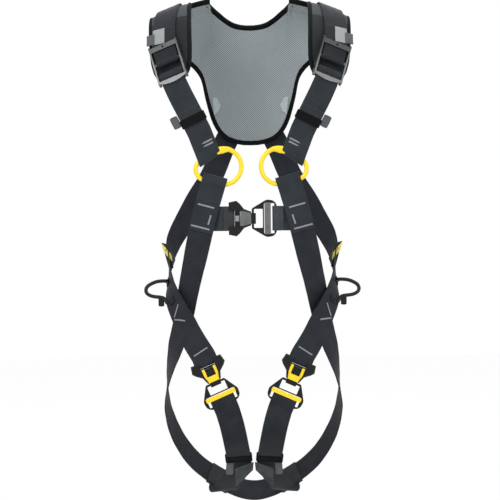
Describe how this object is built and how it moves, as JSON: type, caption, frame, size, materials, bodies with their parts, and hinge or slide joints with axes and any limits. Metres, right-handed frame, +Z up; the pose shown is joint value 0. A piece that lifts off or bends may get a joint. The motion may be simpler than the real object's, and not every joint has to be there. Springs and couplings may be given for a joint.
{
  "type": "fall-arrest harness",
  "caption": "Full-body fall-arrest harness of webbing with a bound mesh back pad, shoulder pads, sternal and dorsal rings, and automatic latch buckles.",
  "frame": {"origin": "on the wearer's shoulder line, midway between the two shoulder pads", "axes": "+Z up, -Y the way the wearer faces, +X to the wearer's left"},
  "size_m": [0.4086, 0.2775, 0.9625],
  "materials": {
    "mesh_padding": "grey spacer mesh over foam",
    "binding_tape": "black bound edge",
    "black_webbing": "black polyester webbing",
    "chest_webbing": "charcoal polyester webbing",
    "leg_webbing": "black polyester webbing",
    "shoulder_webbing": "charcoal polyester webbing",
    "strap_end_webbing": "sewn double webbing",
    "elastic_keeper": "black elastic with a grey moulded tab",
    "yellow_lacquer": "yellow coating on aluminium",
    "yellow_lever": "yellow coating on aluminium",
    "yellow_bar": "yellow coating on aluminium",
    "grey_alloy": "satin aluminium",
    "grey_lever": "satin grey",
    "grey_bar": "satin grey",
    "light_button": "light grey",
    "black_button": "ribbed black",
    "black_coated_metal": "black semi-gloss coating",
    "spring_steel": "plain",
    "steel_pin": "plain",
    "black_plastic": "moulded",
    "black_tube": "black plastic sleeve over webbing"
  },
  "bodies": {
    "webbing_and_pads": {"back_pad": "mesh_padding", "back_pad_binding": "binding_tape", "back_strap_left": "black_webbing", "back_strap_right": "black_webbing", "chest_buckle_frame": "black_coated_metal", "chest_latch_body": "black_coated_metal", "chest_latch_spring": "spring_steel", "chest_lever_pin": "steel_pin", "chest_strap_left": "chest_webbing", "chest_strap_right": "chest_webbing", "dorsal_plate": "black_plastic", "hip_strap_left": "black_webbing", "hip_strap_right": "black_webbing", "leg_buckle_frame_left": "black_coated_metal", "leg_buckle_frame_right": "black_coated_metal", "leg_latch_body_left": "black_coated_metal", "leg_latch_body_right": "black_coated_metal", "leg_latch_spring_left": "spring_steel", "leg_latch_spring_right": "spring_steel", "leg_lever_pin_left": "steel_pin", "leg_lever_pin_right": "steel_pin", "leg_strap_left": "leg_webbing", "leg_strap_right": "leg_webbing", "neck_binding": "binding_tape", "seat_strap": "black_webbing", "shoulder_buckle_frame_left": "grey_alloy", "shoulder_buckle_frame_right": "grey_alloy", "shoulder_pad_left": "mesh_padding", "shoulder_pad_right": "mesh_padding", "shoulder_strap_left": "shoulder_webbing", "shoulder_strap_right": "shoulder_webbing", "upper_front_strap_left": "shoulder_webbing", "upper_front_strap_right": "shoulder_webbing"},
    "dorsal_ring": {"dorsal_ring": "grey_alloy"},
    "sternal_ring_left": {"sternal_ring_left": "yellow_lacquer", "upper_strap_end_left": "strap_end_webbing", "lower_strap_end_left": "strap_end_webbing"},
    "shoulder_slider_left": {"shoulder_buckle_slider_left": "grey_alloy"},
    "leg_lever_left": {"leg_latch_lever_left": "yellow_lever"},
    "leg_button_left": {"leg_latch_button_left": "black_button"},
    "leg_bar_left": {"leg_locking_slide_left": "yellow_bar"},
    "front_keeper_left": {"front_keeper_left": "elastic_keeper"},
    "leg_keeper_left": {"leg_keeper_left": "elastic_keeper"},
    "gear_loop_left": {"gear_loop_left": "black_tube"},
    "sternal_ring_right": {"sternal_ring_right": "yellow_lacquer", "upper_strap_end_right": "strap_end_webbing", "lower_strap_end_right": "strap_end_webbing"},
    "shoulder_slider_right": {"shoulder_buckle_slider_right": "grey_alloy"},
    "leg_lever_right": {"leg_latch_lever_right": "yellow_lever"},
    "leg_button_right": {"leg_latch_button_right": "black_button"},
    "leg_bar_right": {"leg_locking_slide_right": "yellow_bar"},
    "front_keeper_right": {"front_keeper_right": "elastic_keeper"},
    "leg_keeper_right": {"leg_keeper_right": "elastic_keeper"},
    "gear_loop_right": {"gear_loop_right": "black_tube"},
    "chest_lever": {"chest_latch_lever": "grey_lever"},
    "chest_button": {"chest_latch_button": "light_button"},
    "chest_bar": {"chest_locking_slide": "grey_bar"}
  },
  "joints": [
    {"name": "dorsal_ring_hinge", "type": "hinge", "parent": "webbing_and_pads", "child": "dorsal_ring", "pos_m": [0, 0.1323, -0.178], "axis": [1, 0, 0], "range_deg": [0, 150]},
    {"name": "sternal_ring_left_swing", "type": "hinge", "parent": "webbing_and_pads", "child": "sternal_ring_left", "pos_m": [0.072, -0.124, -0.311], "axis": [0, 0, 1], "range_deg": [-25, 25]},
    {"name": "shoulder_slider_left_slide", "type": "slide", "parent": "webbing_and_pads", "child": "shoulder_slider_left", "axis": [-0.2703, -0.2803, -0.9211], "range_m": [0, 0.005]},
    {"name": "leg_lever_left_hinge", "type": "hinge", "parent": "webbing_and_pads", "child": "leg_lever_left", "pos_m": [0.0815, -0.1202, -0.67952], "axis": [-0.9151, -0.0309, 0.4021], "range_deg": [0, 25], "stiffness_Nm_per_rad": 0.05},
    {"name": "leg_button_left_slide", "type": "slide", "parent": "webbing_and_pads", "child": "leg_button_left", "axis": [0.3998, 0.06, 0.9146], "range_m": [0, 0.003], "stiffness_N_per_m": 800},
    {"name": "leg_bar_left_slide", "type": "slide", "parent": "webbing_and_pads", "child": "leg_bar_left", "axis": [-0.3998, -0.06, -0.9146], "range_m": [0, 0.003]},
    {"name": "front_keeper_left_slide", "type": "slide", "parent": "webbing_and_pads", "child": "front_keeper_left", "axis": [-0.4472, 0, -0.8944], "range_m": [-0.018, 0.012]},
    {"name": "leg_keeper_left_slide", "type": "slide", "parent": "webbing_and_pads", "child": "leg_keeper_left", "axis": [-0.0499, 0.799, -0.5993], "range_m": [-0.005, 0.005]},
    {"name": "gear_loop_left_hinge", "type": "hinge", "parent": "webbing_and_pads", "child": "gear_loop_left", "pos_m": [0.16161, -0.03644, -0.53823], "axis": [-0.0717, -0.628, -0.7749], "range_deg": [-20, 20], "stiffness_Nm_per_rad": 0.02},
    {"name": "sternal_ring_right_swing", "type": "hinge", "parent": "webbing_and_pads", "child": "sternal_ring_right", "pos_m": [-0.072, -0.124, -0.311], "axis": [0, 0, 1], "range_deg": [-25, 25]},
    {"name": "shoulder_slider_right_slide", "type": "slide", "parent": "webbing_and_pads", "child": "shoulder_slider_right", "axis": [0.2703, -0.2803, -0.9211], "range_m": [0, 0.005]},
    {"name": "leg_lever_right_hinge", "type": "hinge", "parent": "webbing_and_pads", "child": "leg_lever_right", "pos_m": [-0.0815, -0.1202, -0.67952], "axis": [-0.9151, 0.0309, -0.4021], "range_deg": [0, 25], "stiffness_Nm_per_rad": 0.05},
    {"name": "leg_button_right_slide", "type": "slide", "parent": "webbing_and_pads", "child": "leg_button_right", "axis": [-0.3998, 0.06, 0.9146], "range_m": [0, 0.003], "stiffness_N_per_m": 800},
    {"name": "leg_bar_right_slide", "type": "slide", "parent": "webbing_and_pads", "child": "leg_bar_right", "axis": [0.3998, -0.06, -0.9146], "range_m": [0, 0.003]},
    {"name": "front_keeper_right_slide", "type": "slide", "parent": "webbing_and_pads", "child": "front_keeper_right", "axis": [0.4472, 0, -0.8944], "range_m": [-0.018, 0.012]},
    {"name": "leg_keeper_right_slide", "type": "slide", "parent": "webbing_and_pads", "child": "leg_keeper_right", "axis": [0.0499, 0.799, -0.5993], "range_m": [-0.005, 0.005]},
    {"name": "gear_loop_right_hinge", "type": "hinge", "parent": "webbing_and_pads", "child": "gear_loop_right", "pos_m": [-0.16161, -0.03644, -0.53823], "axis": [-0.0717, 0.628, 0.7749], "range_deg": [-20, 20], "stiffness_Nm_per_rad": 0.02},
    {"name": "chest_lever_hinge", "type": "hinge", "parent": "webbing_and_pads", "child": "chest_lever", "pos_m": [-0.02, -0.1273, -0.406], "axis": [0, 0, -1], "range_deg": [0, 25], "stiffness_Nm_per_rad": 0.05},
    {"name": "chest_button_slide", "type": "slide", "parent": "webbing_and_pads", "child": "chest_button", "axis": [-1, 0, 0], "range_m": [0, 0.003], "stiffness_N_per_m": 800},
    {"name": "chest_bar_slide", "type": "slide", "parent": "webbing_and_pads", "child": "chest_bar", "axis": [1, 0, 0], "range_m": [0, 0.003]}
  ]
}
